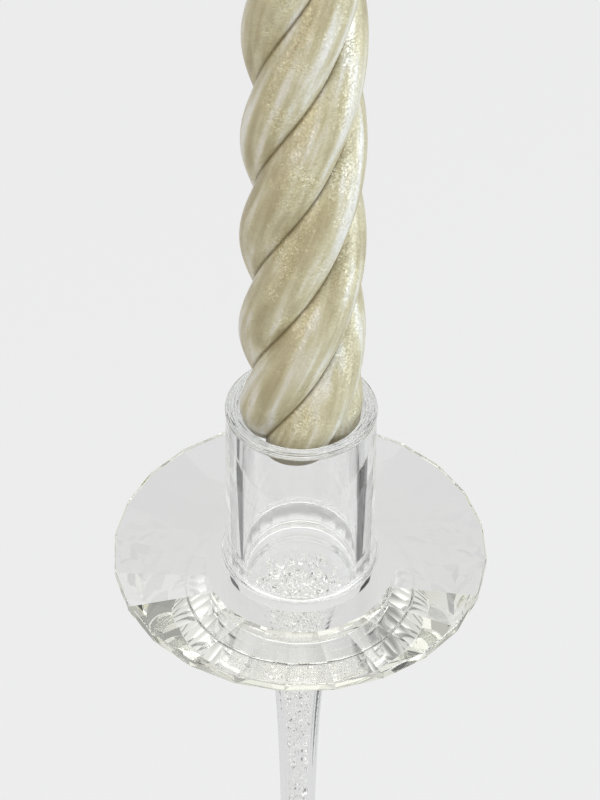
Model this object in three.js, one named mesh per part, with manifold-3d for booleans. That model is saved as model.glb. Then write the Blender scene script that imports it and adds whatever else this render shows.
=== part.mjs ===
// Taper candle holder: a glass candle cup in a facet-cut crystal drip disc, on a trumpet stem filled
// with crystal chips, standing on a facet-cut foot, with a twisted taper candle in the cup.
// Millimetres, +Z up, origin under the middle of the foot. The camera side is -Y.
import * as THREE from 'three';
import { mergeVertices } from 'three/addons/utils/BufferGeometryUtils.js';
import Module from 'manifold-3d';

const wasm = await Module();
wasm.setup();

// Fits shared by several pieces
const bondLine = 0.15; // thickness of each clear adhesive film
const bondInset = 0.3; // how far a film stays inside the faces that it joins
const fitGap = 0.3; // clearance between round pieces that go into each other

// Facet cutting, the same on the disc and the foot
const facetCount = 24;
const facetTurn = THREE.MathUtils.degToRad(-4.3); // direction of the first facet edge from +X

// Foot
const footRadius = 44;
const footHeight = 12;
const footTableRadius = 13;
const footEdgeHeight = 2.4;
const footEdgeBevel = 0.8;

// Stem
const stemLength = 148;
const stemHeadRadius = 11.3;
const stemWaistRadius = 3.5;
const stemFootRadius = 10;
const stemWall = 1.35;
const headFlareLength = 66;
const footFlareLength = 44;
const boreEndHeight = 22; // solid glass left under the bore
const flareNear = new THREE.Vector2(0.12, 0.18); // first curve handle, as shares of flare and length
const flareFar = new THREE.Vector2(0.08, 0.55); // second curve handle

// Crystal chips that fill the stem
const chipHeight = 2.2;
const chipsRound = 12;
const chipDepth = 0.24; // deepest dent between chips, as a share of the radius

// Drip disc
const discRadius = 35.2;
const discThickness = 8.9;
const discEdgeHeight = 1.8;
const discTableRadius = 17.8;
const pocketWeb = 3.5; // glass left under the pocket that takes the cup

// Candle cup
const cupLength = 41;
const cupBoreRadius = 11;
const cupFootWall = 3.25;
const cupFootChamfer = 0.4;
const lipBeadRadius = 1.4;
const lipStep = 0.2; // how far the lip bead stands out from the neck

// Candle
const candleLength = 240;
const candleBaseRadius = 11.5;
const candleTopRadius = 8.1;
const candleStrands = 4;
const strandSpread = 0.474; // strand centre's distance from the axis, as a share of the radius
const candleLead = 82; // height of one full turn of a strand
const candleTurn = -0.2; // direction of the first strand at the candle's end, radians from +X
const candleSeatDepth = 4.5; // candle's end below the top of the lip
const plugClearance = 0.45; // between the candle's narrowed end and the cup's bore
const plugHeight = 14;
const candleEndBevel = 0.6;
const tipHeight = 24;
const tipRadius = 1.7;
const wickRadius = 0.8;
const wickLength = 10;

// Faces used for round pieces and rows
const roundSegments = 64;
const stemSegments = 40;
const flareSteps = 12;
const beadSteps = 10;
const strandPoints = 8;
const candleRowHeight = 5;
const tipRows = 6;

// Heights of the stacked pieces, worked out from the foot up
const stemZ = footHeight + bondLine;
const stemTopZ = stemZ + stemLength;
const discZ = stemTopZ + bondLine;
const pocketZ = discZ + pocketWeb;
const cupZ = pocketZ + bondLine;
const lipZ = cupZ + cupLength;
const candleZ = lipZ - candleSeatDepth;

// Radii that follow from others
const cupFootRadius = cupBoreRadius + cupFootWall;
const cupNeckRadius = cupBoreRadius + 2 * lipBeadRadius - lipStep;
const pocketRadius = cupFootRadius + fitGap;
const boreRadius = stemWaistRadius - stemWall;

const glass = (color) =>
  new THREE.MeshStandardMaterial({ color, roughness: 0.03, metalness: 0, transparent: true, opacity: 0.4 });
const materials = {
  crystal: glass('#e9ece8'),
  tube: glass('#eef0ef'),
  chips: glass('#f4f4ee'),
  adhesive: glass('#f2f3f0'),
  wax: new THREE.MeshStandardMaterial({ color: '#cdc2a2', roughness: 0.38, metalness: 0.15 }),
  wick: new THREE.MeshStandardMaterial({ color: '#efe9da', roughness: 0.9, metalness: 0 }),
};

const point = (x, y) => new THREE.Vector2(x, y);

// Turns a profile of (radius, height) points, given upwards along its outside, round the Z axis
function revolve(profile, segments, firstEdge = 0) {
  const geometry = new THREE.LatheGeometry(profile, segments, firstEdge + Math.PI / 2);
  geometry.rotateX(Math.PI / 2);
  return geometry;
}

// Points of a trumpet flare from its wide end to the waist, as (radius, distance from the wide end)
function flare(wideRadius, waistRadius, length) {
  const spread = wideRadius - waistRadius;
  const handle = (share) => point(waistRadius + share.x * spread, share.y * length);
  const curve = new THREE.CubicBezierCurve(
    point(wideRadius, 0), handle(flareNear), handle(flareFar), point(waistRadius, length));
  return curve.getPoints(flareSteps);
}

// Closed surface through rows of ring points, from the bottom row to the top one, capped at both ends
function loft(rows) {
  const around = rows[0].length;
  const positions = rows.flat().flatMap((p) => [p.x, p.y, p.z]);
  const index = [];
  for (let row = 0; row < rows.length - 1; row += 1) {
    for (let i = 0; i < around; i += 1) {
      const a = row * around + i;
      const b = row * around + ((i + 1) % around);
      index.push(a, b, b + around, a, b + around, a + around);
    }
  }
  for (const [row, outward] of [[0, -1], [rows.length - 1, 1]]) {
    const middle = positions.length / 3;
    positions.push(0, 0, rows[row][0].z);
    for (let i = 0; i < around; i += 1) {
      const a = row * around + i;
      const b = row * around + ((i + 1) % around);
      index.push(middle, ...(outward > 0 ? [a, b] : [b, a]));
    }
  }
  const geometry = new THREE.BufferGeometry();
  geometry.setAttribute('position', new THREE.Float32BufferAttribute(positions, 3));
  geometry.setIndex(index);
  geometry.computeVertexNormals();
  return geometry;
}

function toSolid(geometry) {
  const bare = geometry.clone();
  bare.deleteAttribute('normal');
  bare.deleteAttribute('uv');
  const merged = mergeVertices(bare, 1e-4);
  const corners = merged.index.array;
  const triangles = [];
  for (let i = 0; i < corners.length; i += 3) {
    const [a, b, c] = [corners[i], corners[i + 1], corners[i + 2]];
    if (a !== b && b !== c && c !== a) triangles.push(a, b, c);
  }
  return new wasm.Manifold(new wasm.Mesh({
    numProp: 3,
    vertProperties: new Float32Array(merged.attributes.position.array),
    triVerts: new Uint32Array(triangles),
  }));
}

function toGeometry(solid) {
  const mesh = solid.getMesh();
  const geometry = new THREE.BufferGeometry();
  geometry.setAttribute('position', new THREE.BufferAttribute(mesh.vertProperties, 3));
  geometry.setIndex(new THREE.BufferAttribute(mesh.triVerts, 1));
  geometry.computeVertexNormals();
  return geometry;
}

// Foot: a low facet-cut cone with a flat table for the stem
function footGeometry() {
  return revolve([
    point(0, 0),
    point(footRadius - footEdgeBevel, 0),
    point(footRadius, footEdgeBevel),
    point(footRadius, footEdgeBevel + footEdgeHeight),
    point(footTableRadius, footHeight),
    point(0, footHeight),
  ], facetCount, facetTurn);
}

// Stem: solid at the foot, with an even wall round a bore that opens into the head's flare
function stemGeometry() {
  const footFlare = flare(stemFootRadius, stemWaistRadius, footFlareLength);
  const headFlare = flare(stemHeadRadius, stemWaistRadius, headFlareLength);
  const outside = headFlare.map((p) => point(p.x, stemLength - p.y)).reverse();
  const inside = headFlare.map((p) => point(p.x - stemWall, stemLength - p.y));
  return revolve([
    point(0, 0), ...footFlare, ...outside, ...inside, point(boreRadius, boreEndHeight), point(0, boreEndHeight),
  ], stemSegments);
}

// Radius of the stem's bore at a height above the stem's lower end
function boreRadiusAt(height) {
  const points = flare(stemHeadRadius, stemWaistRadius, headFlareLength);
  const depth = stemLength - height;
  const next = points.findIndex((p) => p.y >= depth);
  if (next < 0) return boreRadius;
  if (next === 0) return stemHeadRadius - stemWall;
  const [a, b] = [points[next - 1], points[next]];
  return THREE.MathUtils.mapLinear(depth, a.y, b.y, a.x, b.x) - stemWall;
}

// Crystal fill: a packed column of chips with dents between them, seated on the bore's end
function crystalFillGeometry() {
  const dent = (i, row) => {
    const wave = Math.sin(i * 12.9898 + row * 78.233) * 43758.5453;
    return wave - Math.floor(wave);
  };
  const top = stemLength - fitGap;
  const rowCount = Math.round((top - boreEndHeight) / chipHeight);
  const rows = [];
  for (let row = 0; row <= rowCount; row += 1) {
    const height = THREE.MathUtils.lerp(boreEndHeight, top, row / rowCount);
    const radius = boreRadiusAt(height) - fitGap;
    const ring = [];
    for (let i = 0; i < chipsRound; i += 1) {
      const angle = ((i + (row % 2) / 2) / chipsRound) * 2 * Math.PI;
      const r = radius * (1 - chipDepth * dent(i, row));
      ring.push(new THREE.Vector3(r * Math.cos(angle), r * Math.sin(angle), height));
    }
    rows.push(ring);
  }
  return loft(rows);
}

// Drip disc: flat top, facets underneath from the edge in to the table, and a round pocket for the cup
function discGeometry() {
  const blank = toSolid(revolve([
    point(0, 0),
    point(discTableRadius, 0),
    point(discRadius, discThickness - discEdgeHeight),
    point(discRadius, discThickness),
    point(0, discThickness),
  ], facetCount, facetTurn));
  const pocket = toSolid(revolve([
    point(0, pocketWeb),
    point(pocketRadius, pocketWeb),
    point(pocketRadius, discThickness + pocketWeb),
    point(0, discThickness + pocketWeb),
  ], roundSegments));
  return toGeometry(blank.subtract(pocket));
}

// Candle cup: an open tube that widens slightly to its foot, with a rounded bead for a lip
function cupGeometry() {
  const beadRadius = cupBoreRadius + lipBeadRadius;
  const beadZ = cupLength - lipBeadRadius;
  const neckAngle = Math.acos((cupNeckRadius - beadRadius) / lipBeadRadius);
  const bead = new THREE.EllipseCurve(
    beadRadius, beadZ, lipBeadRadius, lipBeadRadius, -neckAngle, Math.PI).getPoints(beadSteps);
  return revolve([
    point(cupBoreRadius, 0),
    point(cupFootRadius - cupFootChamfer, 0),
    point(cupFootRadius, cupFootChamfer),
    ...bead,
    point(cupBoreRadius, 0),
  ], roundSegments);
}

// Adhesive film: a flat ring, or a flat disc where the inner radius is 0
function filmGeometry(innerRadius, outerRadius) {
  const profile = [
    point(innerRadius, 0), point(outerRadius, 0), point(outerRadius, bondLine), point(innerRadius, bondLine),
  ];
  if (innerRadius > 0) profile.push(profile[0]);
  return revolve(profile, roundSegments);
}

// Radius of the candle over its strands at a height above its lower end
function candleRadiusAt(height) {
  const body = THREE.MathUtils.lerp(candleBaseRadius, candleTopRadius, height / candleLength);
  const plug = cupBoreRadius - plugClearance;
  const seated = THREE.MathUtils.lerp(plug, body, THREE.MathUtils.smoothstep(height, 0, plugHeight));
  const tipShare = Math.max(0, height - (candleLength - tipHeight)) / tipHeight;
  return tipRadius + (seated - tipRadius) * Math.sqrt(Math.max(0, 1 - tipShare ** 2));
}

// One ring of the candle: touching round strands with a sharp groove between neighbours
function candleRing(height, radius) {
  const ring = [];
  const count = candleStrands * strandPoints;
  const strandRadius = 1 - strandSpread;
  for (let i = 0; i < count; i += 1) {
    const across = ((i % strandPoints) / strandPoints - 0.5) * (2 * Math.PI / candleStrands);
    const angle = (i / count) * 2 * Math.PI + candleTurn - Math.PI / candleStrands
      + (height / candleLead) * 2 * Math.PI;
    const side = strandSpread * Math.sin(across);
    const r = radius * (strandSpread * Math.cos(across) + Math.sqrt(strandRadius ** 2 - side ** 2));
    ring.push(new THREE.Vector3(r * Math.cos(angle), r * Math.sin(angle), height));
  }
  return ring;
}

// Candle: a tapered body of twisted strands with a narrowed end below and a round tip above
function candleGeometry() {
  const shoulder = candleLength - tipHeight;
  const bodyRows = Math.round((shoulder - candleEndBevel) / candleRowHeight);
  const heights = [];
  for (let row = 0; row <= bodyRows; row += 1) {
    heights.push(THREE.MathUtils.lerp(candleEndBevel, shoulder, row / bodyRows));
  }
  for (let row = 1; row <= tipRows; row += 1) {
    heights.push(shoulder + tipHeight * Math.sin((row / tipRows) * (Math.PI / 2)));
  }
  const end = candleRing(0, candleRadiusAt(0) - candleEndBevel);
  return loft([end, ...heights.map((height) => candleRing(height, candleRadiusAt(height)))]);
}

function wickGeometry() {
  return revolve([
    point(0, 0), point(wickRadius, 0), point(wickRadius, wickLength), point(0, wickLength),
  ], 10);
}

function piece(name, geometry, material, z) {
  const mesh = new THREE.Mesh(geometry, material);
  mesh.name = name;
  mesh.position.z = z;
  return mesh;
}

const stemHeadBore = stemHeadRadius - stemWall;

const holder = new THREE.Group();
holder.add(
  piece('foot', footGeometry(), materials.crystal, 0),
  piece('stem_foot_bond', filmGeometry(0, stemFootRadius - bondInset), materials.adhesive, footHeight),
  piece('stem', stemGeometry(), materials.tube, stemZ),
  piece('crystal_fill', crystalFillGeometry(), materials.chips, stemZ),
  piece('stem_head_bond', filmGeometry(stemHeadBore + bondInset, stemHeadRadius - bondInset),
    materials.adhesive, stemTopZ),
  piece('drip_disc', discGeometry(), materials.crystal, discZ),
  piece('cup_bond', filmGeometry(cupBoreRadius + bondInset, cupFootRadius - cupFootChamfer - bondInset),
    materials.adhesive, pocketZ),
  piece('candle_cup', cupGeometry(), materials.tube, cupZ),
);

const candle = new THREE.Group();
candle.position.z = candleZ;
candle.add(
  piece('candle', candleGeometry(), materials.wax, 0),
  piece('wick', wickGeometry(), materials.wick, candleLength),
);

const candleHolder = new THREE.Group();
candleHolder.add(holder, candle);

export default candleHolder;
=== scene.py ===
import math
import bmesh
import bpy
from mathutils import Matrix, Vector


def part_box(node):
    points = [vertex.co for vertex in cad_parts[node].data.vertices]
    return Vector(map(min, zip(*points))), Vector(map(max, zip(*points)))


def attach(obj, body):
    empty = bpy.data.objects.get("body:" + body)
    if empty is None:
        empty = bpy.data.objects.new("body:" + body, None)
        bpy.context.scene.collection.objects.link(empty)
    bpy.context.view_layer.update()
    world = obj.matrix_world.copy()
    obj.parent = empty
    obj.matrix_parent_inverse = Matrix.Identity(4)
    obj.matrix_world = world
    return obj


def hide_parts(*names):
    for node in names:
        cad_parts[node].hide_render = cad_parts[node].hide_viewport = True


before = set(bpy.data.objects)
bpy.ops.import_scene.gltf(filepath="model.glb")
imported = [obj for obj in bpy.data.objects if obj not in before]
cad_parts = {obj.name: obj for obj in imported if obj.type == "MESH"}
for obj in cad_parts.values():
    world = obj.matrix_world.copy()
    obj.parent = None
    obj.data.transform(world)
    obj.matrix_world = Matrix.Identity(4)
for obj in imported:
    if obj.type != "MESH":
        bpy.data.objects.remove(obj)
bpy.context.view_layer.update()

scene = bpy.context.scene
scene.view_settings.view_transform = "Standard"
scene.cycles.max_bounces = 96  # light turns many times inside cut crystal
scene.cycles.glossy_bounces = 64
scene.cycles.transmission_bounces = 96
mm = 0.001
print("frame loaded:", sorted(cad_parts))


def hexColour(text):
    parts = [int(text[i:i + 2], 16) / 255 for i in (1, 3, 5)]
    return tuple(c / 12.92 if c <= 0.04045 else ((c + 0.055) / 1.055) ** 2.4 for c in parts) + (1.0,)


def addNode(tree, kind, links=None, **settings):
    node = tree.nodes.new(kind)
    for name, value in settings.items():
        setattr(node, name, value)
    for name, value in (links or {}).items():
        if isinstance(value, bpy.types.NodeSocket):
            tree.links.new(value, node.inputs[name])
        else:
            node.inputs[name].default_value = value
    return node


def newMaterial(name):
    material = bpy.data.materials.new(name)
    material.use_nodes = True
    material.node_tree.nodes.clear()
    return material, material.node_tree


# Camera, at the photograph's angle: 42 degrees down on a long lens; places in millimetres
cameraLook = {"aimZ": 206.3, "pitch": 42.0, "distance": 496.4, "sideways": -0.25, "roll": 0.5,
              "lens": 124.38, "sensor": 36.0, "clipStart": 10.0}


def makeCamera(look):
    pitch = math.radians(look["pitch"])
    camera = bpy.data.objects.new("camera", bpy.data.cameras.new("camera"))
    camera.data.lens = look["lens"]
    camera.data.sensor_width = look["sensor"]
    camera.data.clip_start = look["clipStart"] * mm
    place = Vector((look["sideways"], -look["distance"] * math.cos(pitch),
                    look["aimZ"] + look["distance"] * math.sin(pitch))) * mm
    camera.matrix_world = (Matrix.Translation(place) @ Matrix.Rotation(math.pi / 2 - pitch, 4, "X")
                           @ Matrix.Rotation(math.radians(look["roll"]), 4, "Z"))
    scene.collection.objects.link(camera)
    scene.camera = camera


makeCamera(cameraLook)
print("camera set")


# Studio: pale floor and room, three softboxes, two strips for the gloss, dark flags low on the floor.
# Sizes are in metres, apart from the fibre and the flags, which are in millimetres
studio = {
    "pale": "#F0F0F0", "cameraShare": 0.9,  # floor and room as the camera sees them
    "paleInGlass": "#EBEBEB", "shadeInGlass": "#DDDDDD", "glassShare": 0.8,  # floor as the glass sees it
    "shadeReach": (0.2, 0.245), "shadeShift": (0.015, 0.0, 0.0), "shadeStretch": (0.5, 1.0, 1.0),
    "floorSize": 3.0, "floorColour": "#E4E4E3", "fibreColour": "#E9E9E8", "fibreWidth": 1.11,
    "roomAmbient": 0.26, "roomBright": 0.66,
    "roomSpots": [  # direction from behind towards the right, height, width in degrees, change of brightness
        (62, 38, 30, -0.34), (-62, 22, 22, -0.2), (-25, 42, 34, 0.1), (0, 90, 48, 1.35), (180, 42, 26, 0.5)],
    "spotCore": 0.45,  # share of a spot's width that has the whole change
    "bandStart": (0.0, 0.06), "bandEnd": (0.22, 0.38),  # darker band low in the room, as sines of height
    "bandBehind": (-0.45, 0.0), "bandChange": -0.62,  # the band fades out towards the front
    "flagHeight": 1.0,
    "flags": [  # name, two corners, colour of the painted shade
        ("rightFlag", (72, 50, 124, 112), "#3A3A3C"), ("leftFlag", (-124, 52, -86, 104), "#666668"),
        ("farLeftFlag", (-220, 110, -150, 200), "#8C8C8C"), ("lipRightFlag", (178, 0, 262, 80), "#1C1C1E"),
        ("lipLeftFlag", (-262, 20, -178, 80), "#1C1C1E")],
    "lampAim": (0.0, 0.0, 0.24),
    "lamps": [  # name, place, size, watts, colour
        ("rightSoftbox", (1.0, -0.36, 0.55), (0.8, 1.2), 14.0, "#EAF3FF"),
        ("leftSoftbox", (-0.75, -0.7, 0.7), (0.7, 0.9), 6.2, "#FFF9F0"),
        ("topSoftbox", (0.1, 0.35, 1.35), (1.1, 1.1), 2.5, "#FFFFFF")],
    "strips": [  # narrow lamps that only gloss shows
        ("frontStrip", (0.0, -0.55, 1.25), (1.4, 0.1), 1.0, "#FFFFFF"),
        ("backStrip", (0.0, 0.5, 1.3), (1.4, 0.1), 1.0, "#FFFFFF")],
}


def glassRays(tree):
    path = addNode(tree, "ShaderNodeLightPath").outputs
    seen = addNode(tree, "ShaderNodeMath", {0: path["Is Glossy Ray"], 1: path["Is Transmission Ray"]},
                   operation="MAXIMUM")
    return path["Is Camera Ray"], seen.outputs[0]


def makeWorld(look):
    world = bpy.data.worlds.new("paleRoom")
    scene.world = world
    world.use_nodes = True
    tree = world.node_tree
    tree.nodes.clear()
    direction = addNode(tree, "ShaderNodeTexCoord").outputs["Generated"]
    level = look["roomBright"]
    for turn, height, width, change in look["roomSpots"]:  # panels and gaps of the room, soft at their edges
        turn, height, width = math.radians(turn), math.radians(height), math.radians(width)
        aim = (math.sin(turn) * math.cos(height), math.cos(turn) * math.cos(height), math.sin(height))
        facing = addNode(tree, "ShaderNodeVectorMath", {0: direction, 1: aim}, operation="DOT_PRODUCT")
        spot = addNode(tree, "ShaderNodeMapRange", {
            0: facing.outputs["Value"], 1: math.cos(width), 2: math.cos(width * look["spotCore"]),
            3: 0.0, 4: change}, interpolation_type="SMOOTHSTEP")
        level = addNode(tree, "ShaderNodeMath", {0: level, 1: spot.outputs[0]}, operation="ADD").outputs[0]
    place = addNode(tree, "ShaderNodeSeparateXYZ", {0: direction})
    low, rise = look["bandStart"]
    fall, high = look["bandEnd"]
    front, back = look["bandBehind"]
    above = addNode(tree, "ShaderNodeMapRange", {0: place.outputs["Z"], 1: low, 2: rise, 3: 0.0,
                                                 4: look["bandChange"]})
    below = addNode(tree, "ShaderNodeMapRange", {0: place.outputs["Z"], 1: high, 2: fall})
    behind = addNode(tree, "ShaderNodeMapRange", {0: place.outputs["Y"], 1: front, 2: back})
    band = addNode(tree, "ShaderNodeMath", {0: above.outputs[0], 1: below.outputs[0]}, operation="MULTIPLY")
    level = addNode(tree, "ShaderNodeMath", {0: band.outputs[0], 1: behind.outputs[0], 2: level},
                    operation="MULTIPLY_ADD").outputs[0]
    room = addNode(tree, "ShaderNodeCombineColor", {0: level, 1: level, 2: level})
    camera, seen = glassRays(tree)
    ambient = (look["roomAmbient"],) * 3 + (1.0,)
    lit = addNode(tree, "ShaderNodeMix", {0: seen, 6: ambient, 7: room.outputs[0]}, data_type="RGBA")
    shown = addNode(tree, "ShaderNodeMix", {0: camera, 6: lit.outputs[2], 7: hexColour(look["pale"])},
                    data_type="RGBA")
    sky = addNode(tree, "ShaderNodeBackground", {"Color": shown.outputs[2], "Strength": 1.0})
    addNode(tree, "ShaderNodeOutputWorld", {"Surface": sky.outputs[0]})


def makeFloor(look):
    size = look["floorSize"]
    corners = [(-size, -size, 0), (size, -size, 0), (size, size, 0), (-size, size, 0)]
    mesh = bpy.data.meshes.new("floor")
    mesh.from_pydata(corners, [], [(0, 1, 2, 3)])
    floor = bpy.data.objects.new("floor", mesh)
    scene.collection.objects.link(floor)
    # matt seamless paper: even and pale where it is looked at, with a faint tone of fibres, drawn coarser
    material, tree = newMaterial("mattSeamlessPaper")
    spot = addNode(tree, "ShaderNodeTexCoord").outputs["Object"]
    fibre = addNode(tree, "ShaderNodeTexNoise", {"Vector": spot, "Scale": 1 / (look["fibreWidth"] * mm),
                                                 "Detail": 2.0})
    tone = addNode(tree, "ShaderNodeMix", {0: fibre.outputs[0], 6: hexColour(look["floorColour"]),
                                           7: hexColour(look["fibreColour"])}, data_type="RGBA")
    paper = addNode(tree, "ShaderNodeBsdfDiffuse", {"Color": tone.outputs[2]})
    pale = addNode(tree, "ShaderNodeEmission", {"Color": hexColour(look["pale"]), "Strength": 1.0})
    # painted shade: the glass sees the paper a little darker close round the object, where its soft shadow
    # falls
    oval = addNode(tree, "ShaderNodeMapping", {"Vector": spot, "Location": look["shadeShift"],
                                               "Scale": look["shadeStretch"]})
    away = addNode(tree, "ShaderNodeVectorMath", {0: oval.outputs[0]}, operation="LENGTH")
    near, far = look["shadeReach"]
    clear = addNode(tree, "ShaderNodeMapRange", {0: away.outputs["Value"], 1: near, 2: far},
                    interpolation_type="SMOOTHSTEP")
    seenTone = addNode(tree, "ShaderNodeMix", {0: clear.outputs[0], 6: hexColour(look["shadeInGlass"]),
                                               7: hexColour(look["paleInGlass"])}, data_type="RGBA")
    inGlass = addNode(tree, "ShaderNodeEmission", {"Color": seenTone.outputs[2], "Strength": 1.0})
    camera, seen = glassRays(tree)
    cameraShare = addNode(tree, "ShaderNodeMath", {0: camera, 1: look["cameraShare"]}, operation="MULTIPLY")
    glassShare = addNode(tree, "ShaderNodeMath", {0: seen, 1: look["glassShare"]}, operation="MULTIPLY")
    direct = addNode(tree, "ShaderNodeMixShader", {0: cameraShare.outputs[0], 1: paper.outputs[0],
                                                   2: pale.outputs[0]})
    both = addNode(tree, "ShaderNodeMixShader", {0: glassShare.outputs[0], 1: direct.outputs[0],
                                                 2: inGlass.outputs[0]})
    addNode(tree, "ShaderNodeOutputMaterial", {"Surface": both.outputs[0]})
    mesh.materials.append(material)


def makeLamps(look):
    aim = Vector(look["lampAim"])
    for name, place, size, watts, colour in look["lamps"] + look["strips"]:
        light = bpy.data.lights.new(name, "AREA")
        light.shape = "RECTANGLE"
        light.size, light.size_y = size
        light.energy = watts
        light.color = hexColour(colour)[:3]
        lamp = bpy.data.objects.new(name, light)
        lamp.location = place
        lamp.rotation_euler = (aim - Vector(place)).to_track_quat("-Z", "Y").to_euler()
        lamp.visible_transmission = False  # glass looks through to the room, not to the lamps
        lamp.visible_diffuse = name not in [strip[0] for strip in look["strips"]]
        scene.collection.objects.link(lamp)


# Dark flags, sheets of painted shade, draw the dark edges of the clear glass and the object's shade on the
# floor; only glass and gloss see them
def makeFlags(look):
    for name, (x0, y0, x1, y1), colour in look["flags"]:
        # painted shade: matt sheets, grey to black, in one even tone; the grey ones low round the object
        # stand for its shade on the floor, the black ones for dark surroundings
        material, tree = newMaterial(name + "ShadeSheet")
        shadeSheet = addNode(tree, "ShaderNodeBsdfDiffuse", {"Color": hexColour(colour)})
        addNode(tree, "ShaderNodeOutputMaterial", {"Surface": shadeSheet.outputs[0]})
        corners = ((x0, y0), (x1, y0), (x1, y1), (x0, y1))
        mesh = bpy.data.meshes.new(name)
        mesh.from_pydata([Vector((x, y, look["flagHeight"])) * mm for x, y in corners], [], [(0, 1, 2, 3)])
        mesh.materials.append(material)
        flag = bpy.data.objects.new(name, mesh)
        flag.visible_camera = flag.visible_diffuse = flag.visible_shadow = False
        scene.collection.objects.link(flag)


makeWorld(studio)
makeFloor(studio)
makeFlags(studio)
makeLamps(studio)
print("studio set")


# Materials; widths are in millimetres
crystalLook = {"colour": "#FFFFFF", "filmWidth": 9.0, "roughFrom": 0.45, "roughTo": 0.8, "roughest": 0.03,
               "ior": 1.53, "tint": "#F1F2BF", "tintDensity": 4.0}


def cutCrystal(look):
    # lead-free crystal, ground flat and polished: sharp bright facets, cream green where the path is long
    material, tree = newMaterial("polishedCutCrystal")
    spot = addNode(tree, "ShaderNodeTexCoord").outputs["Object"]
    film = addNode(tree, "ShaderNodeTexNoise", {"Vector": spot, "Scale": 1 / (look["filmWidth"] * mm),
                                                "Detail": 3.0})
    rough = addNode(tree, "ShaderNodeMapRange", {
        0: film.outputs[0], 1: look["roughFrom"], 2: look["roughTo"], 3: 0.0, 4: look["roughest"]})
    glass = addNode(tree, "ShaderNodeBsdfPrincipled", {
        "Base Color": hexColour(look["colour"]), "Roughness": rough.outputs[0], "IOR": look["ior"],
        "Transmission Weight": 1.0})
    tint = addNode(tree, "ShaderNodeVolumeAbsorption", {"Color": hexColour(look["tint"]),
                                                        "Density": look["tintDensity"]})
    addNode(tree, "ShaderNodeOutputMaterial", {"Surface": glass.outputs[0], "Volume": tint.outputs[0]})
    return material


tubeLook = {"colour": "#FFFFFF", "waveWidth": 5.0, "waveStretch": 0.12, "waveDepth": 0.3,
            "waveStrength": 0.008, "roughFrom": 0.55, "roughTo": 0.9, "roughest": 0.02, "ior": 1.51,
            "tint": "#C8CEC4", "tintDensity": 4.0}


def drawnGlass(look):
    # soda-lime tube, drawn and fire-polished: clear, with a faint waviness that runs along the tube
    material, tree = newMaterial("firePolishedTubeGlass")
    spot = addNode(tree, "ShaderNodeTexCoord").outputs["Object"]
    along = addNode(tree, "ShaderNodeMapping", {"Vector": spot, "Scale": (1.0, 1.0, look["waveStretch"])})
    wave = addNode(tree, "ShaderNodeTexNoise", {"Vector": along.outputs[0], "Detail": 2.0,
                                                "Scale": 1 / (look["waveWidth"] * mm)})
    bump = addNode(tree, "ShaderNodeBump", {
        "Strength": look["waveStrength"], "Distance": look["waveDepth"] * mm, "Height": wave.outputs[0]})
    rough = addNode(tree, "ShaderNodeMapRange", {
        0: wave.outputs[0], 1: look["roughFrom"], 2: look["roughTo"], 3: 0.0, 4: look["roughest"]})
    glass = addNode(tree, "ShaderNodeBsdfPrincipled", {
        "Base Color": hexColour(look["colour"]), "Roughness": rough.outputs[0], "IOR": look["ior"],
        "Transmission Weight": 1.0, "Normal": bump.outputs[0]})
    tint = addNode(tree, "ShaderNodeVolumeAbsorption", {"Color": hexColour(look["tint"]),
                                                        "Density": look["tintDensity"]})
    addNode(tree, "ShaderNodeOutputMaterial", {"Surface": glass.outputs[0], "Volume": tint.outputs[0]})
    return material


chipLook = {"white": "#FFFFFF", "cream": "#FFFFFC", "cellWidth": 1.6, "ior": 1.42}


def facetedChipGlass(look):
    # machine-cut glass chips: small flat facets that flash white, with a trace of cream
    material, tree = newMaterial("machineCutChipGlass")
    spot = addNode(tree, "ShaderNodeTexCoord").outputs["Object"]
    cell = addNode(tree, "ShaderNodeTexVoronoi", {"Vector": spot, "Scale": 1 / (look["cellWidth"] * mm)})
    tone = addNode(tree, "ShaderNodeMix", {0: cell.outputs["Distance"], 6: hexColour(look["white"]),
                                           7: hexColour(look["cream"])}, data_type="RGBA")
    glass = addNode(tree, "ShaderNodeBsdfPrincipled", {
        "Base Color": tone.outputs[2], "Roughness": 0.0, "IOR": look["ior"], "Transmission Weight": 1.0})
    addNode(tree, "ShaderNodeOutputMaterial", {"Surface": glass.outputs[0]})
    return material


adhesiveLook = {"colour": "#FFFFFF", "filmWidth": 2.5, "roughFrom": 0.4, "roughTo": 0.8, "roughest": 0.05,
                "ior": 1.51}


def clearAdhesive(look):
    # cured clear adhesive: as clear as the glass, with a slight unevenness in its film
    material, tree = newMaterial("curedClearAdhesive")
    spot = addNode(tree, "ShaderNodeTexCoord").outputs["Object"]
    film = addNode(tree, "ShaderNodeTexNoise", {"Vector": spot, "Scale": 1 / (look["filmWidth"] * mm),
                                                "Detail": 2.0})
    rough = addNode(tree, "ShaderNodeMapRange", {
        0: film.outputs[0], 1: look["roughFrom"], 2: look["roughTo"], 3: 0.0, 4: look["roughest"]})
    glass = addNode(tree, "ShaderNodeBsdfPrincipled", {
        "Base Color": hexColour(look["colour"]), "Roughness": rough.outputs[0], "IOR": look["ior"],
        "Transmission Weight": 1.0})
    addNode(tree, "ShaderNodeOutputMaterial", {"Surface": glass.outputs[0]})
    return material


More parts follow.
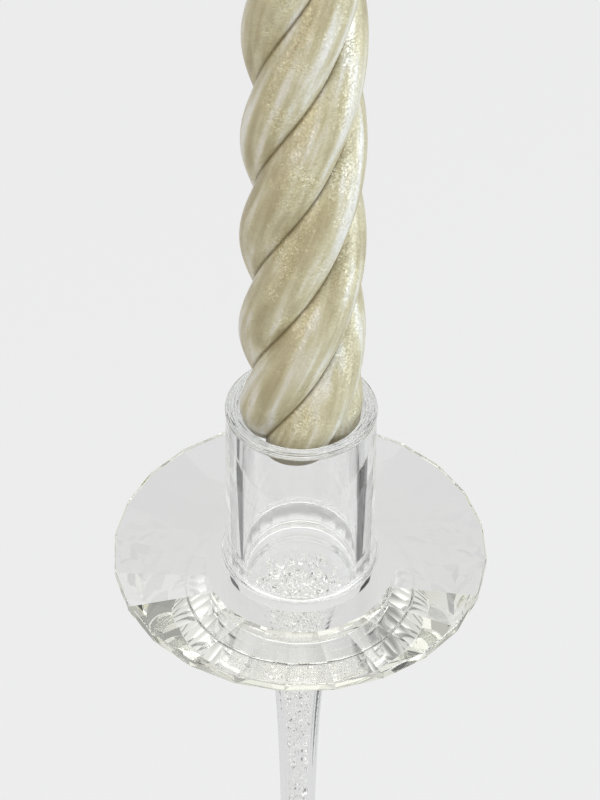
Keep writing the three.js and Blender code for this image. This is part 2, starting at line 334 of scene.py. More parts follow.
waxLook = {
    "pearlAndSheen": [(0.44, "#AFA480"), (0.6, "#C6BE9C"), (0.78, "#E4E1D6")],  # pearly lacquer tone with painted sheen: streaks from dull to near white
    "gilt": "#CEC494", "giltFrom": 0.52, "giltTo": 0.75, "giltShare": 0.5,
    "groove": "#7A6C48", "grooveFrom": 0.91, "grooveShade": 0.8,
    "streakWidth": 2.4, "streakStretch": 0.07, "streakDepth": 0.2, "streakStrength": 0.05,
    "cloudWidth": 7.0, "cloudShare": 0.2, "bare": "#8A8060", "bareFrom": 202.0, "bareTo": 203.2,
    "glitterWidth": 0.25, "grainTilt": 0.5,
    "grains": [("#857A4C", 0.3, 0.0, 1.2), ("#FBF7E2", 0.72, 1.0, 1.6)],  # colour, range of luck, cover
    "satinFrom": 0.3, "satinTo": 0.7, "dullest": 0.42, "glossiest": 0.3,  # roughness off and on the streaks
    "metallic": 0.15, "ior": 1.45, "coat": 0.35, "coatRoughness": 0.36, "coatIor": 1.5,
}


def pearlWax(look):
    # paraffin wax dipped in a pearly lacquer: satin gloss and bumps in soft brush streaks, whose colour also
    # carries a painted sheen, fine glitter, painted shade in the grooves
    material, tree = newMaterial("pearlLacqueredParaffin")
    straight = addNode(tree, "ShaderNodeAttribute", attribute_name="streaks").outputs["Vector"]
    groove = addNode(tree, "ShaderNodeAttribute", attribute_name="groove").outputs["Fac"]
    spot = addNode(tree, "ShaderNodeTexCoord").outputs["Object"]
    stretch = (1.0, 1.0, look["streakStretch"])
    drawn = addNode(tree, "ShaderNodeMapping", {"Vector": straight, "Scale": stretch})
    streak = addNode(tree, "ShaderNodeTexNoise", {
        "Vector": drawn.outputs[0], "Scale": 1 / (look["streakWidth"] * mm), "Detail": 2.0, "Roughness": 0.5})
    cloud = addNode(tree, "ShaderNodeTexNoise", {"Vector": spot, "Scale": 1 / (look["cloudWidth"] * mm),
                                                 "Detail": 2.0})
    blend = addNode(tree, "ShaderNodeMath", {
        0: cloud.outputs[0], 1: look["cloudShare"], 2: streak.outputs[0]}, operation="MULTIPLY_ADD")
    # painted sheen: along the streaks the colour runs from dull to near white, as reflected softboxes would
    # make it
    pearlAndSheen = addNode(tree, "ShaderNodeValToRGB", {0: blend.outputs[0]})
    thin, middle, thick = look["pearlAndSheen"]
    stops = pearlAndSheen.color_ramp.elements
    for stop, (position, colour) in ((stops[0], thin), (stops[1], thick)):
        stop.position = position
        stop.color = hexColour(colour)
    stops.new(middle[0]).color = hexColour(middle[1])
    gilt = addNode(tree, "ShaderNodeMapRange", {
        0: cloud.outputs[0], 1: look["giltFrom"], 2: look["giltTo"], 3: 0.0, 4: look["giltShare"]})
    warm = addNode(tree, "ShaderNodeMix", {
        0: gilt.outputs[0], 6: pearlAndSheen.outputs[0], 7: hexColour(look["gilt"])}, data_type="RGBA")
    # painted shade: the colour darkens to the groove colour at the bottom of the grooves between the strands
    shade = addNode(tree, "ShaderNodeMapRange", {0: groove, 1: look["grooveFrom"], 2: 1.0, 3: 0.0,
                                                 4: look["grooveShade"]}, interpolation_type="SMOOTHSTEP")
    body = addNode(tree, "ShaderNodeMix", {0: shade.outputs[0], 6: warm.outputs[2],
                                           7: hexColour(look["groove"])}, data_type="RGBA")
    # painted shade: the end that sits in the cup is darkened, where the cup's lip shades it
    height = addNode(tree, "ShaderNodeSeparateXYZ", {0: spot}).outputs["Z"]
    bare = addNode(tree, "ShaderNodeMapRange", {0: height, 1: look["bareTo"] * mm, 2: look["bareFrom"] * mm},
                   interpolation_type="SMOOTHSTEP")
    body = addNode(tree, "ShaderNodeMix", {
        0: bare.outputs[0], 6: body.outputs[2], 7: hexColour(look["bare"])}, data_type="RGBA")
    # glitter drawn coarser than the real one, so that it shows in the render; each grain tilts its own way
    cell = addNode(tree, "ShaderNodeTexVoronoi", {"Vector": spot, "Scale": 1 / (look["glitterWidth"] * mm)})
    luck = addNode(tree, "ShaderNodeSeparateColor", {0: cell.outputs["Color"]}).outputs[0]
    for colour, start, end, most in look["grains"]:
        chosen = addNode(tree, "ShaderNodeMapRange", {0: luck, 1: start, 2: end, 3: 0.0, 4: most})
        grains = addNode(tree, "ShaderNodeMath", {0: chosen.outputs[0], 1: gilt.outputs[0]},
                         operation="MULTIPLY", use_clamp=True)
        body = addNode(tree, "ShaderNodeMix", {
            0: grains.outputs[0], 6: body.outputs[2], 7: hexColour(colour)}, data_type="RGBA")
    tilt = addNode(tree, "ShaderNodeVectorMath", {
        0: cell.outputs["Color"], 1: (look["grainTilt"],) * 3, 2: (-look["grainTilt"] / 2,) * 3},
        operation="MULTIPLY_ADD")
    bump = addNode(tree, "ShaderNodeBump", {
        "Strength": look["streakStrength"], "Distance": look["streakDepth"] * mm,
        "Height": streak.outputs[0]})
    turned = addNode(tree, "ShaderNodeVectorMath", {0: bump.outputs[0], 1: tilt.outputs[0]}, operation="ADD")
    normal = addNode(tree, "ShaderNodeVectorMath", {0: turned.outputs[0]}, operation="NORMALIZE")
    satin = addNode(tree, "ShaderNodeMapRange", {
        0: streak.outputs[0], 1: look["satinFrom"], 2: look["satinTo"], 3: look["dullest"],
        4: look["glossiest"]})
    wax = addNode(tree, "ShaderNodeBsdfPrincipled", {
        "Base Color": body.outputs[2], "Metallic": look["metallic"], "Roughness": satin.outputs[0],
        "IOR": look["ior"], "Normal": normal.outputs[0], "Coat Weight": look["coat"],
        "Coat Roughness": look["coatRoughness"], "Coat IOR": look["coatIor"]})
    addNode(tree, "ShaderNodeOutputMaterial", {"Surface": wax.outputs[0]})
    return material


yarnLook = {"dark": "#D9D0BB", "light": "#F6F1E4", "fibreWidth": 0.12, "fibreStretch": 0.15,
            "fibreDepth": 0.05, "fibreStrength": 0.5, "roughness": 0.8, "sheen": 0.2}


def cottonYarn(look):
    # braided cotton, lightly waxed: matt off-white with fibres along the ply, drawn coarser so that they show
    material, tree = newMaterial("waxedBraidedCotton")
    straight = addNode(tree, "ShaderNodeAttribute", attribute_name="streaks").outputs["Vector"]
    stretch = (1.0, 1.0, look["fibreStretch"])
    drawn = addNode(tree, "ShaderNodeMapping", {"Vector": straight, "Scale": stretch})
    fibre = addNode(tree, "ShaderNodeTexNoise", {"Vector": drawn.outputs[0], "Detail": 3.0,
                                                 "Scale": 1 / (look["fibreWidth"] * mm)})
    tone = addNode(tree, "ShaderNodeMix", {0: fibre.outputs[0], 6: hexColour(look["dark"]),
                                           7: hexColour(look["light"])}, data_type="RGBA")
    bump = addNode(tree, "ShaderNodeBump", {
        "Strength": look["fibreStrength"], "Distance": look["fibreDepth"] * mm, "Height": fibre.outputs[0]})
    cotton = addNode(tree, "ShaderNodeBsdfPrincipled", {
        "Base Color": tone.outputs[2], "Roughness": look["roughness"], "Normal": bump.outputs[0],
        "Sheen Weight": look["sheen"]})
    addNode(tree, "ShaderNodeOutputMaterial", {"Surface": cotton.outputs[0]})
    return material


crystal = cutCrystal(crystalLook)
tubeGlass = drawnGlass(tubeLook)
chipGlass = facetedChipGlass(chipLook)
adhesive = clearAdhesive(adhesiveLook)
wax = pearlWax(waxLook)
yarn = cottonYarn(yarnLook)
print("materials made")


# Shared ways of making a piece; sizes are in millimetres
def placePiece(piece, body, node):
    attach(piece, body)
    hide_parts(node)
    print("piece", piece.name, len(piece.data.polygons), "faces")


def linkMesh(name, mesh, material):
    piece = bpy.data.objects.new(name, mesh)
    scene.collection.objects.link(piece)
    mesh.materials.clear()
    mesh.materials.append(material)
    return piece


def addRing(form, radius, height, sides, firstTurn=0.0):
    turns = [firstTurn + 2 * math.pi * i / sides for i in range(sides)]
    return [form.verts.new((radius * mm * math.cos(turn), radius * mm * math.sin(turn), height * mm))
            for turn in turns]


# Turns a closed profile of (radius, height) round the axis; a point on the axis becomes one vertex
def turnedMesh(name, profile, sides, firstTurn=0.0, onAxis=1e-6):
    form = bmesh.new()
    rings = []
    for radius, height in profile:
        if radius < onAxis:
            rings.append([form.verts.new((0, 0, height * mm))] * sides)
        else:
            rings.append(addRing(form, radius, height, sides, firstTurn))
    startsOnAxis = profile[0][0] < onAxis
    pairs = list(zip(rings, rings[1:])) + ([] if startsOnAxis else [(rings[-1], rings[0])])
    for low, high in pairs:
        for i in range(sides):
            k = (i + 1) % sides
            corners = []
            for vertex in (low[i], low[k], high[k], high[i]):
                if vertex not in corners:
                    corners.append(vertex)
            if len(corners) > 2:
                form.faces.new(corners)
    bmesh.ops.recalc_face_normals(form, faces=form.faces)
    mesh = bpy.data.meshes.new(name)
    form.to_mesh(mesh)
    form.free()
    return mesh


# Adds a close ring at both ends of each long straight run, so that smooth shading leaves the run straight
def heldProfile(profile, closed=False, gap=0.05, longRun=1.5):
    held = []
    ends = zip(profile, profile[1:] + (profile[:1] if closed else []))
    for (r0, z0), (r1, z1) in ends:
        held.append((r0, z0))
        run = math.hypot(r1 - r0, z1 - z0)
        if run > longRun:
            held += [(r0 + (r1 - r0) * t, z0 + (z1 - z0) * t) for t in (gap / run, 1 - gap / run)]
    return held if closed else held + [profile[-1]]


def smoothTurned(mesh, degrees):
    mesh.shade_smooth()
    mesh.set_sharp_from_angle(angle=math.radians(degrees))


# Runs a Geometry Nodes tree on a mesh and keeps the result as a plain mesh
def runTree(name, tree, values, startMesh):
    carrier = bpy.data.objects.new(name, startMesh)
    scene.collection.objects.link(carrier)
    modifier = carrier.modifiers.new(tree.name, "NODES")
    modifier.node_group = tree
    for item in tree.interface.items_tree:
        if item.item_type == "SOCKET" and item.in_out == "INPUT" and item.name in values:
            modifier[item.identifier] = values[item.name]
    depsgraph = bpy.context.evaluated_depsgraph_get()
    mesh = bpy.data.meshes.new_from_object(carrier.evaluated_get(depsgraph), depsgraph=depsgraph)
    mesh.name = name
    carrier.modifiers.clear()
    bpy.data.objects.remove(carrier)
    return mesh


def newTree(name, sockets):
    tree = bpy.data.node_groups.new(name, "GeometryNodeTree")
    tree.interface.new_socket("Geometry", in_out="INPUT", socket_type="NodeSocketGeometry")
    for label, kind in sockets:
        tree.interface.new_socket(label, in_out="INPUT", socket_type="NodeSocket" + kind)
    tree.interface.new_socket("Geometry", in_out="OUTPUT", socket_type="NodeSocketGeometry")
    return tree, addNode(tree, "NodeGroupInput").outputs


# Facet cutting, the same on the disc and the foot
facets = {"count": 24, "turn": math.radians(-4.3), "chamferRise": 0.4}


# Drip disc: flat polished top, facets underneath, a round pocket for the cup; small chamfers catch light
discForm = {"bottomZ": 160.3, "radius": 35.2, "thickness": 8.9, "edgeHeight": 1.8, "tableRadius": 17.8,
            "pocketWeb": 3.5, "pocketRadius": 14.55, "chamfer": 0.14, "cornerRadius": 0.3, "cornerSteps": 4,
            "pocketSides": 168, "sharpAngle": 30.0}


def makeDisc(form):
    count, turn, sides = facets["count"], facets["turn"], form["pocketSides"]
    radius, chamfer, pocketRadius = form["radius"], form["chamfer"], form["pocketRadius"]
    low, high = form["bottomZ"], form["bottomZ"] + form["thickness"]
    edge, floorZ = high - form["edgeHeight"], low + form["pocketWeb"]
    slope = (edge - low) / (radius - form["tableRadius"])
    outline = [(form["tableRadius"], low), (radius - chamfer, edge - chamfer * slope),
               (radius, edge + chamfer * facets["chamferRise"]), (radius, high - chamfer),
               (radius - chamfer, high)]
    shape = bmesh.new()
    outer = [addRing(shape, r, z, count, turn) for r, z in outline]
    for lower, upper in zip(outer, outer[1:]):
        for i in range(count):
            k = (i + 1) % count
            shape.faces.new((lower[i], lower[k], upper[k], upper[i]))
    shape.faces.new(list(reversed(outer[0])))
    pocket = [(pocketRadius + chamfer, high), (pocketRadius, high - chamfer)]
    for step in range(form["cornerSteps"] + 1):  # round corner left by the grinding wheel
        bend = step * math.pi / 2 / form["cornerSteps"]
        pocket.append((pocketRadius - form["cornerRadius"] * (1 - math.cos(bend)),
                       floorZ + form["cornerRadius"] * (1 - math.sin(bend))))
    walls = [addRing(shape, r, z, sides, turn) for r, z in pocket]
    perFacet = sides // count
    for i in range(count):  # flat top, one face for each side of the disc
        mouth = [walls[0][(i * perFacet + j) % sides] for j in range(perFacet + 1)]
        shape.faces.new([outer[-1][i], outer[-1][(i + 1) % count]] + list(reversed(mouth)))
    curved = []
    for upper, lower in zip(walls, walls[1:]):
        for i in range(sides):
            k = (i + 1) % sides
            curved.append(shape.faces.new((upper[i], upper[k], lower[k], lower[i])))
    shape.faces.new(walls[-1])
    bmesh.ops.recalc_face_normals(shape, faces=shape.faces)
    for face in curved:
        face.smooth = True
    for crease in shape.edges:
        if len(crease.link_faces) == 2 and crease.calc_face_angle() > math.radians(form["sharpAngle"]):
            crease.smooth = False
    mesh = bpy.data.meshes.new("drip_disc_cut")
    shape.to_mesh(mesh)
    shape.free()
    return linkMesh("drip_disc_cut", mesh, crystal)


placePiece(makeDisc(discForm), "holder", "drip_disc")


# Foot: low facet-cut cone with a flat table under the stem
footForm = {"radius": 44.0, "height": 12.0, "tableRadius": 13.0, "edgeHeight": 2.4, "bevel": 0.8,
            "chamfer": 0.15}


def makeFoot(form):
    radius, chamfer, bevel = form["radius"], form["chamfer"], form["bevel"]
    edge = bevel + form["edgeHeight"]
    slope = (form["height"] - edge) / (radius - form["tableRadius"])
    profile = [(0, 0), (radius - bevel, 0), (radius, bevel), (radius, edge - chamfer * facets["chamferRise"]),
               (radius - chamfer, edge + chamfer * slope), (form["tableRadius"], form["height"]),
               (0, form["height"])]
    return linkMesh("foot_cut", turnedMesh("foot_cut", profile, facets["count"], facets["turn"]), crystal)


placePiece(makeFoot(footForm), "holder", "foot")


# Candle cup: thick tube with a flattened bead lip that carries fine turned rings; angles go round the bead
cupForm = {"bottomZ": 163.95, "length": 41.0, "bore": 11.0, "footRadius": 14.25, "footChamfer": 0.4,
           "beadRadius": 1.4, "beadRise": 0.62, "beadStep": 2.0, "neckRadius": 13.6, "ringPitch": 24.0,
           "ringDepth": 0.2, "ringSharpness": 6, "ringFrom": -10.0, "ringTo": 160.0, "ringFade": 10.0,
           "beadTo": 180.0, "sides": 192, "sharpAngle": 38}


def makeCup(form):
    z0, bead, rise, fade = form["bottomZ"], form["beadRadius"], form["beadRise"], form["ringFade"]
    centreR, centreZ = form["bore"] + bead, z0 + form["length"] - rise
    neck = math.degrees(math.acos((form["neckRadius"] - centreR) / bead))
    profile = [(form["bore"], z0), (form["footRadius"] - form["footChamfer"], z0),
               (form["footRadius"], z0 + form["footChamfer"])]
    angle = -neck
    while angle <= form["beadTo"]:
        ringed = max(0.0, min(1.0, (angle - form["ringFrom"]) / fade, (form["ringTo"] - angle) / fade))
        wave = 0.5 - 0.5 * math.cos(2 * math.pi * (angle + neck) / form["ringPitch"])
        dip = form["ringDepth"] * ringed * wave ** form["ringSharpness"]
        profile.append((centreR + (bead - dip) * math.cos(math.radians(angle)),
                        centreZ + (rise - dip) * math.sin(math.radians(angle))))
        angle += form["beadStep"]
    mesh = turnedMesh("candle_cup_glass", heldProfile(profile, True), form["sides"])
    smoothTurned(mesh, form["sharpAngle"])
    return linkMesh("candle_cup_glass", mesh, tubeGlass)


placePiece(makeCup(cupForm), "holder", "candle_cup")


# Stem: trumpet tube with an even wall; flares are the same curves as the solid's
stemForm = {"bottomZ": 12.15, "length": 148.0, "headRadius": 11.3, "waist": 3.5, "footRadius": 10.0,
            "wall": 1.35, "headFlare": 66.0, "footFlare": 44.0, "near": (0.12, 0.18), "far": (0.08, 0.55),
            "boreEnd": 22.0, "endRim": (0.4, 0.6, 0.1),  # rounding of the bore's end: inset, rise, dip
            "steps": 28, "sides": 128, "sharpAngle": 40}


def flareCurve(wide, length, form):
    spread = wide - form["waist"]
    handles = [(wide, 0.0)] + [(form["waist"] + share * spread, along * length)
                               for share, along in (form["near"], form["far"])] + [(form["waist"], length)]
    points = []
    for step in range(form["steps"] + 1):
        t = step / form["steps"]
        weights = ((1 - t) ** 3, 3 * (1 - t) ** 2 * t, 3 * (1 - t) * t * t, t ** 3)
        points.append(tuple(sum(w * p[axis] for w, p in zip(weights, handles)) for axis in (0, 1)))
    return points


def makeStem(form):
    z0, top = form["bottomZ"], form["bottomZ"] + form["length"]
    head = flareCurve(form["headRadius"], form["headFlare"], form)
    foot = flareCurve(form["footRadius"], form["footFlare"], form)
    boreR, endZ = form["waist"] - form["wall"], z0 + form["boreEnd"]
    inset, rise, dip = form["endRim"]
    profile = [(0, z0)] + [(r, z0 + y) for r, y in foot] + [(r, top - y) for r, y in reversed(head)]
    profile += [(r - form["wall"], top - y) for r, y in head]
    profile += [(boreR, endZ + rise), (boreR - inset, endZ + dip), (0, endZ)]
    mesh = turnedMesh("stem_tube", heldProfile(profile), form["sides"])
    smoothTurned(mesh, form["sharpAngle"])
    return linkMesh("stem_tube", mesh, tubeGlass)


placePiece(makeStem(stemForm), "holder", "stem")


# Crystal chips: cut stones that lie with their tables against the bore, in nested layers
chipForm = {"size": 2.9, "spacing": 2.35, "layer": 2.2, "layers": 6, "clearance": 0.14, "rimGap": 0.9,
            "endGap": 0.2, "leastRadius": 0.4, "shellSides": 40, "tilt": 0.28, "sides": 6, "seed": 11}
# one stone, as shares of its size; its swing goes all the way round, and tries are counted for each mm2
stoneCut = {"table": 0.36, "girdle": 0.48, "crown": 0.17, "pavilion": 0.42, "upperReach": 0.3,
            "lowerReach": 0.5, "least": 0.8, "most": 1.0, "swing": 6.283, "weld": 0.001, "tries": 4.0}


def chipTree(cut):
    tree, given = newTree("packedChips", [("Spacing", "Float"), ("Chip Size", "Float"), ("Tilt", "Float"),
                                          ("Sides", "Int"), ("Seed", "Int"), ("Finish", "Material")])
    spread = addNode(tree, "GeometryNodeDistributePointsOnFaces",
                     {"Mesh": given["Geometry"], "Distance Min": given["Spacing"],
                      "Density Max": cut["tries"] / mm ** 2, "Seed": given["Seed"]},
                     distribute_method="POISSON")
    table = addNode(tree, "GeometryNodeMeshCircle", {"Vertices": given["Sides"], "Radius": cut["table"]},
                    fill_type="NGON")
    raised = addNode(tree, "GeometryNodeTransform", {"Geometry": table.outputs[0],
                                                     "Translation": (0, 0, cut["crown"])})
    crown = addNode(tree, "GeometryNodeMeshCone",
                    {"Vertices": given["Sides"], "Radius Top": cut["table"], "Radius Bottom": cut["girdle"],
                     "Depth": cut["crown"]}, fill_type="NONE")
    pavilion = addNode(tree, "GeometryNodeMeshCone",
                       {"Vertices": given["Sides"], "Radius Top": cut["girdle"], "Radius Bottom": 0.0,
                        "Depth": cut["pavilion"]}, fill_type="NONE")
    lowered = addNode(tree, "GeometryNodeTransform", {"Geometry": pavilion.outputs[0],
                                                      "Translation": (0, 0, -cut["pavilion"])})
    stone = addNode(tree, "GeometryNodeJoinGeometry")
    for part in (raised, crown, lowered):
        tree.links.new(part.outputs[0], stone.inputs[0])
    merged = addNode(tree, "GeometryNodeMergeByDistance", {"Geometry": stone.outputs[0],
                                                           "Distance": cut["weld"]})
    lean = addNode(tree, "ShaderNodeMath", {0: given["Tilt"], 1: -1.0}, operation="MULTIPLY")
    least = addNode(tree, "ShaderNodeCombineXYZ", {0: lean.outputs[0], 1: lean.outputs[0], 2: 0.0})
    most = addNode(tree, "ShaderNodeCombineXYZ", {0: given["Tilt"], 1: given["Tilt"], 2: cut["swing"]})
    swing = addNode(tree, "FunctionNodeRandomValue",
                    {0: least.outputs[0], 1: most.outputs[0], "Seed": given["Seed"]},
                    data_type="FLOAT_VECTOR")
    turn = addNode(tree, "FunctionNodeRotateRotation",
                   {"Rotation": spread.outputs["Rotation"], "Rotate By": swing.outputs[0]},
                   rotation_space="LOCAL")
    grow = addNode(tree, "FunctionNodeRandomValue",
                   {2: cut["least"], 3: cut["most"], "Seed": given["Seed"]}, data_type="FLOAT")
    size = addNode(tree, "ShaderNodeMath", {0: grow.outputs[1], 1: given["Chip Size"]}, operation="MULTIPLY")
    placed = addNode(tree, "GeometryNodeInstanceOnPoints",
                     {"Points": spread.outputs[0], "Instance": merged.outputs[0], "Rotation": turn.outputs[0],
                      "Scale": size.outputs[0]})
    real = addNode(tree, "GeometryNodeRealizeInstances", {"Geometry": placed.outputs[0]})
    flat = addNode(tree, "GeometryNodeSetShadeSmooth", {"Geometry": real.outputs[0], "Shade Smooth": False})
    done = addNode(tree, "GeometryNodeSetMaterial", {"Geometry": flat.outputs[0],
                                                     "Material": given["Finish"]})
    addNode(tree, "NodeGroupOutput", {0: done.outputs[0]})
    return tree


def makeChips(form, cut, stem):
    stemTop = stem["bottomZ"] + stem["length"]
    inset = stem["wall"] + form["size"] * cut["upperReach"] + form["clearance"]
    top = stemTop - form["size"] * cut["upperReach"] - form["endGap"]
    low = stem["bottomZ"] + stem["boreEnd"] + form["size"] * cut["lowerReach"] + form["endGap"]
    widest = stem["headRadius"] - inset - form["rimGap"]
    flare = flareCurve(stem["headRadius"], stem["headFlare"], stem)
    layers = bmesh.new()
    for count in range(form["layers"]):  # shells nested into the flare, as far as there is room
        depth = count * form["layer"]
        rows = [(min(r - inset, widest) - depth, min(stemTop - y, top - depth)) for r, y in flare]
        rows = [(r, z) for r, z in rows if r > form["leastRadius"]]
        if len(rows) > 1:
            end = low if count == 0 else rows[-1][1]
            profile = [(0, end), (rows[-1][0], end)] + list(reversed(rows)) + [(0, rows[0][1])]
            layers.from_mesh(turnedMesh("chip_layer", profile, form["shellSides"]))
    shells = bpy.data.meshes.new("chip_layers")
    layers.to_mesh(shells)
    layers.free()
    mesh = runTree("stem_crystals", chipTree(cut), {
        "Spacing": form["spacing"] * mm, "Chip Size": form["size"] * mm, "Tilt": form["tilt"],
        "Sides": form["sides"], "Seed": form["seed"], "Finish": chipGlass}, shells)
    return linkMesh("stem_crystals", mesh, chipGlass)


placePiece(makeChips(chipForm, stoneCut, stemForm), "holder", "crystal_fill")


# Adhesive films; each reaches a hair into the glass on both sides, as a bonded face does
filmForm = {"line": 0.15, "inset": 0.3, "reach": 0.02, "sides": 128, "sharpAngle": 40}


def makeFilm(name, inner, outer, z, form, extra):
    low, high = z - form["reach"], z + form["line"] + form["reach"]
    profiles = [[(inner, low), (outer, low), (outer, high), (inner, high)]] + extra
    film = bmesh.new()
    for profile in profiles:
        film.from_mesh(turnedMesh(name + "_ring", profile, form["sides"]))
    mesh = bpy.data.meshes.new(name)
    film.to_mesh(mesh)
    film.free()
    smoothTurned(mesh, form["sharpAngle"])
    return linkMesh(name, mesh, adhesive)


# Bead of adhesive pressed out round the cup where it leaves the disc: a hollow curve up the cup's side
beadForm = {"height": 1.36, "width": 1.0, "sunk": 0.3, "steps": 9, "cupTaper": 0.09}


def beadProfile(form, reach):
    top, pocketR = discForm["bottomZ"] + discForm["thickness"], discForm["pocketRadius"]
    cupR = cupForm["footRadius"] - form["cupTaper"]  # the cup is a little narrower here than at its foot
    shares = [k / form["steps"] for k in range(form["steps"] + 1)]
    curve = [(cupR + form["width"] * share ** 2, top + form["height"] * (1 - share) ** 2) for share in shares]
    return [(cupR - reach, top - form["sunk"]), (pocketR + reach, top - form["sunk"]),
            (pocketR + discForm["chamfer"] + reach, top - reach), (curve[-1][0], top - reach)
            ] + list(reversed(curve)) + [(cupR - reach, top + form["height"])]


stemTop = stemForm["bottomZ"] + stemForm["length"]
pocketFloor = discForm["bottomZ"] + discForm["pocketWeb"]
headBore = stemForm["headRadius"] - stemForm["wall"]
cupFoot = cupForm["footRadius"] - cupForm["footChamfer"]
for pieceName, node, inner, outer, z in (
        ("stem_foot_film", "stem_foot_bond", 0.0, stemForm["footRadius"], footForm["height"]),
        ("stem_head_film", "stem_head_bond", headBore, stemForm["headRadius"], stemTop),
        ("cup_film", "cup_bond", cupForm["bore"], cupFoot, pocketFloor)):
    inset = filmForm["inset"]
    extra = [beadProfile(beadForm, filmForm["reach"])] if pieceName == "cup_film" else []
    film = makeFilm(pieceName, inner + inset if inner else 0.0, outer - inset, z, filmForm, extra)
    placePiece(film, "holder", node)


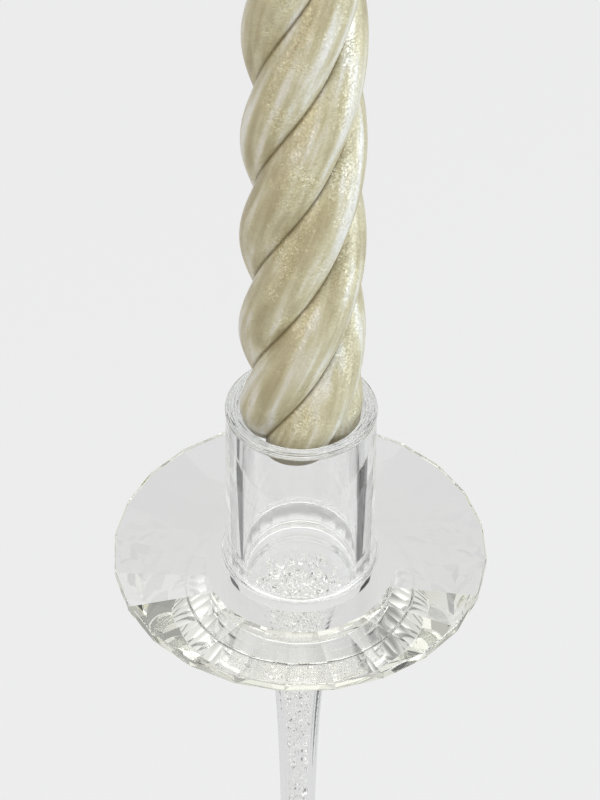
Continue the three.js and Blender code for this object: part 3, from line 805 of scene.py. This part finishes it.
# Twisted rod: touching round strands wound round the axis, tapered, with a narrowed end and a round tip
def twistTree():
    numbers = ("Length", "Base Radius", "Top Radius", "Lead", "Spread", "Turn", "Strands", "Plug Radius",
               "Plug Height", "End Bevel", "Tip Height", "Tip Radius", "Foot Height", "Groove Detail",
               "Streak Share")
    tree, given = newTree("twistedRod", [(label, "Float") for label in numbers]
                          + [("Sides", "Int"), ("Rings", "Int"), ("Finish", "Material")])
    rod = addNode(tree, "GeometryNodeMeshCylinder",
                  {"Vertices": given["Sides"], "Side Segments": given["Rings"], "Fill Segments": 1,
                   "Radius": 1.0, "Depth": given["Length"]}, fill_type="TRIANGLE_FAN")
    spot = addNode(tree, "ShaderNodeSeparateXYZ", {0: addNode(tree, "GeometryNodeInputPosition").outputs[0]})
    height = addNode(tree, "ShaderNodeMath", {0: given["Length"], 1: 0.5, 2: spot.outputs["Z"]},
                     operation="MULTIPLY_ADD")
    seat = addNode(tree, "ShaderNodeMapRange", {0: height.outputs[0], 1: 0.0, 2: given["Plug Height"],
                                                3: 0.0, 4: 1.0}, interpolation_type="SMOOTHSTEP")
    known = {label: given[label] for label in numbers}
    known.update({"x": spot.outputs["X"], "y": spot.outputs["Y"], "height": height.outputs[0],
                  "seat": seat.outputs[0]})
    rows = [  # name, operation, then numbers and names of inputs or earlier rows
        ("ySquare", "MULTIPLY", "y", "y"),
        ("reachSquare", "MULTIPLY_ADD", "x", "x", "ySquare"),
        ("reach", "SQRT", "reachSquare"),  # 0 at the caps' middles, 1 at the side
        ("evenAngle", "ARCTAN2", "y", "x"),
        ("half", "DIVIDE", math.pi, "Strands"),
        ("minusHalf", "MULTIPLY", "half", -1.0),
        ("even", "WRAP", "evenAngle", "half", "minusHalf"),
        # sides crowd together towards the grooves, which keeps these narrow
        ("evenTurn", "MULTIPLY", "even", "Strands"),
        ("evenSine", "SINE", "evenTurn"),
        ("crowdShare", "DIVIDE", "Groove Detail", "Strands"),
        ("crowd", "MULTIPLY", "evenSine", "crowdShare"),
        ("across", "ADD", "even", "crowd"),
        ("angle", "ADD", "evenAngle", "crowd"),
        # taper, narrowed end and tip
        ("taper", "SUBTRACT", "Top Radius", "Base Radius"),
        ("along", "DIVIDE", "height", "Length"),
        ("body", "MULTIPLY_ADD", "taper", "along", "Base Radius"),
        ("overPlug", "SUBTRACT", "body", "Plug Radius"),
        ("seated", "MULTIPLY_ADD", "overPlug", "seat", "Plug Radius"),
        ("tipStart", "SUBTRACT", "Length", "Tip Height"),
        ("above", "SUBTRACT", "height", "tipStart"),
        ("aboveShare", "DIVIDE", "above", "Tip Height"),
        ("shareLow", "MAXIMUM", "aboveShare", 0.0),
        ("share", "MINIMUM", "shareLow", 1.0),
        ("shareSquare", "MULTIPLY", "share", "share"),
        ("domeLeft", "SUBTRACT", 1.0, "shareSquare"),
        ("domeSquare", "MAXIMUM", "domeLeft", 0.0),
        ("dome", "SQRT", "domeSquare"),
        ("overTip", "SUBTRACT", "seated", "Tip Radius"),
        ("tipped", "MULTIPLY_ADD", "overTip", "dome", "Tip Radius"),
        ("bevelLeft", "SUBTRACT", "End Bevel", "height"),
        ("bevel", "MAXIMUM", "bevelLeft", 0.0),
        ("bevelled", "SUBTRACT", "tipped", "bevel"),
        # section of touching circles
        ("strand", "SUBTRACT", 1.0, "Spread"),
        ("acrossSine", "SINE", "across"),
        ("side", "MULTIPLY", "Spread", "acrossSine"),
        ("strandSquare", "MULTIPLY", "strand", "strand"),
        ("sideSquare", "MULTIPLY", "side", "side"),
        ("bulgeSquare", "SUBTRACT", "strandSquare", "sideSquare"),
        ("bulge", "SQRT", "bulgeSquare"),
        ("acrossCosine", "COSINE", "across"),
        ("section", "MULTIPLY_ADD", "Spread", "acrossCosine", "bulge"),
        ("sideRadius", "MULTIPLY", "bevelled", "section"),
        ("radius", "MULTIPLY", "sideRadius", "reach"),
        # winding of the shape, and the lesser winding of its streaks
        ("turns", "DIVIDE", "height", "Lead"),
        ("twist", "MULTIPLY", "turns", 2 * math.pi),
        ("turned", "ADD", "angle", "Turn"),
        ("wound", "ADD", "turned", "twist"),
        ("woundCosine", "COSINE", "wound"),
        ("woundSine", "SINE", "wound"),
        ("placeX", "MULTIPLY", "radius", "woundCosine"),
        ("placeY", "MULTIPLY", "radius", "woundSine"),
        ("placeZ", "ADD", "height", "Foot Height"),
        ("unwound", "SUBTRACT", 1.0, "Streak Share"),
        ("drawn", "MULTIPLY_ADD", "twist", "unwound", "angle"),
        ("drawnCosine", "COSINE", "drawn"),
        ("drawnSine", "SINE", "drawn"),
        ("streakX", "MULTIPLY", "radius", "drawnCosine"),
        ("streakY", "MULTIPLY", "radius", "drawnSine"),
        ("acrossSize", "ABSOLUTE", "across"),
        ("depth", "DIVIDE", "acrossSize", "half"),
    ]
    for label, operation, *terms in rows:
        inputs = {i: known.get(term, term) for i, term in enumerate(terms)}
        known[label] = addNode(tree, "ShaderNodeMath", inputs, operation=operation).outputs[0]
    place = addNode(tree, "ShaderNodeCombineXYZ", {
        0: known["placeX"], 1: known["placeY"], 2: known["placeZ"]})
    straight = addNode(tree, "ShaderNodeCombineXYZ", {
        0: known["streakX"], 1: known["streakY"], 2: known["height"]})
    streaked = addNode(tree, "GeometryNodeStoreNamedAttribute",
                       {"Geometry": rod.outputs["Mesh"], "Name": "streaks", "Value": straight.outputs[0]},
                       data_type="FLOAT_VECTOR", domain="POINT")
    grooved = addNode(tree, "GeometryNodeStoreNamedAttribute",
                      {"Geometry": streaked.outputs[0], "Name": "groove", "Value": known["depth"]},
                      data_type="FLOAT", domain="POINT")
    moved = addNode(tree, "GeometryNodeSetPosition", {"Geometry": grooved.outputs[0],
                                                      "Position": place.outputs[0]})
    real = addNode(tree, "GeometryNodeRealizeInstances", {"Geometry": moved.outputs[0]})
    done = addNode(tree, "GeometryNodeSetMaterial", {"Geometry": real.outputs[0],
                                                     "Material": given["Finish"]})
    addNode(tree, "NodeGroupOutput", {0: done.outputs[0]})
    return tree


candleForm = {"Length": 240 * mm, "Base Radius": 11.5 * mm, "Top Radius": 8.1 * mm, "Lead": 82 * mm,
              "Spread": 0.474, "Turn": -0.2, "Strands": 4.0, "Plug Radius": 10.55 * mm,
              "Plug Height": 8.2 * mm, "End Bevel": 0.6 * mm, "Tip Height": 24 * mm, "Tip Radius": 1.7 * mm,
              "Foot Height": 200.45 * mm, "Groove Detail": 0.72, "Streak Share": 0.42, "Sides": 128,
              "Rings": 400}
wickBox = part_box("wick")
wickForm = {"Length": wickBox[1].z - wickBox[0].z, "Base Radius": 0.8 * mm, "Top Radius": 0.78 * mm,
            "Lead": 3.6 * mm, "Spread": 0.45, "Turn": 0.0, "Strands": 3.0, "Plug Radius": 0.8 * mm,
            "Plug Height": 1 * mm, "End Bevel": 0.0, "Tip Height": 0.5 * mm, "Tip Radius": 0.5 * mm,
            "Foot Height": wickBox[0].z, "Groove Detail": 0.3, "Streak Share": 1.0, "Sides": 36, "Rings": 90}


def makeTwisted(name, form, tree, material, sharpAngle=42):
    mesh = runTree(name, tree, {**form, "Finish": material}, bpy.data.meshes.new(name + "_start"))
    smoothTurned(mesh, sharpAngle)
    return linkMesh(name, mesh, material)


rodTree = twistTree()
placePiece(makeTwisted("twisted_candle", candleForm, rodTree, wax), "taper", "candle")
placePiece(makeTwisted("cotton_wick", wickForm, rodTree, yarn), "taper", "wick")
